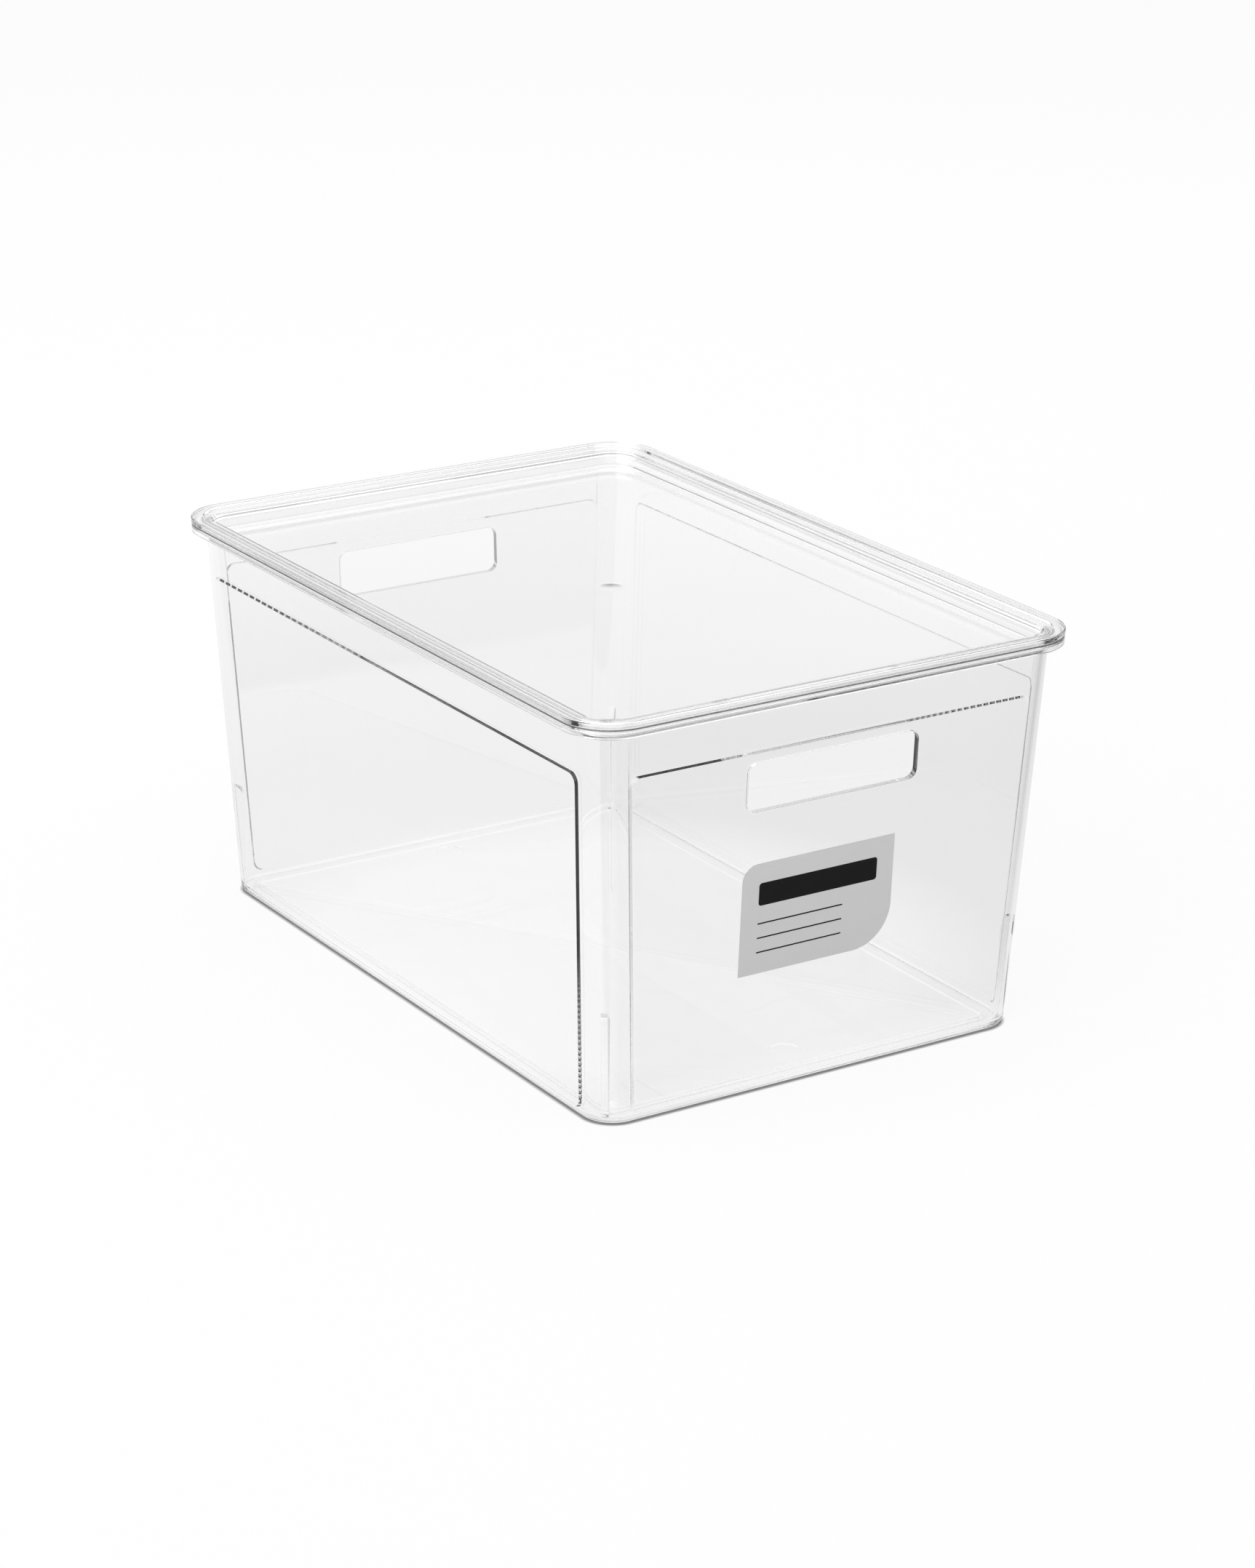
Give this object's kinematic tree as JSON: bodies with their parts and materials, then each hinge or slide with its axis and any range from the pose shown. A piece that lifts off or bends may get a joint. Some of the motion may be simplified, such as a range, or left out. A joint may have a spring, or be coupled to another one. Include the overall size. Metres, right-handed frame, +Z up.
{
  "type": "clear storage box with lid",
  "caption": "Clear tapered storage box with raised side panels, hand slots in the short ends, a flanged rim and a drop-in lid with a sunken stacking panel.",
  "frame": {"origin": "middle of the base, on the plane the box stands on", "axes": "+Z up; Y along the length, with -Y the front end that carries the label; X across the width"},
  "size_m": [0.265, 0.385, 0.195],
  "materials": {
    "clear_tub": "clear moulded, polished",
    "clear_lid": "clear moulded, polished",
    "label_face": "satin printed film"
  },
  "bodies": {
    "tub_body": {"tub": "clear_tub", "label": "label_face"},
    "lid_body": {"lid": "clear_lid"}
  },
  "joints": [
    {"name": "lid_lift", "type": "slide", "parent": "tub_body", "child": "lid_body", "axis": [0, 0, 1], "range_m": [0, 0.22]}
  ]
}
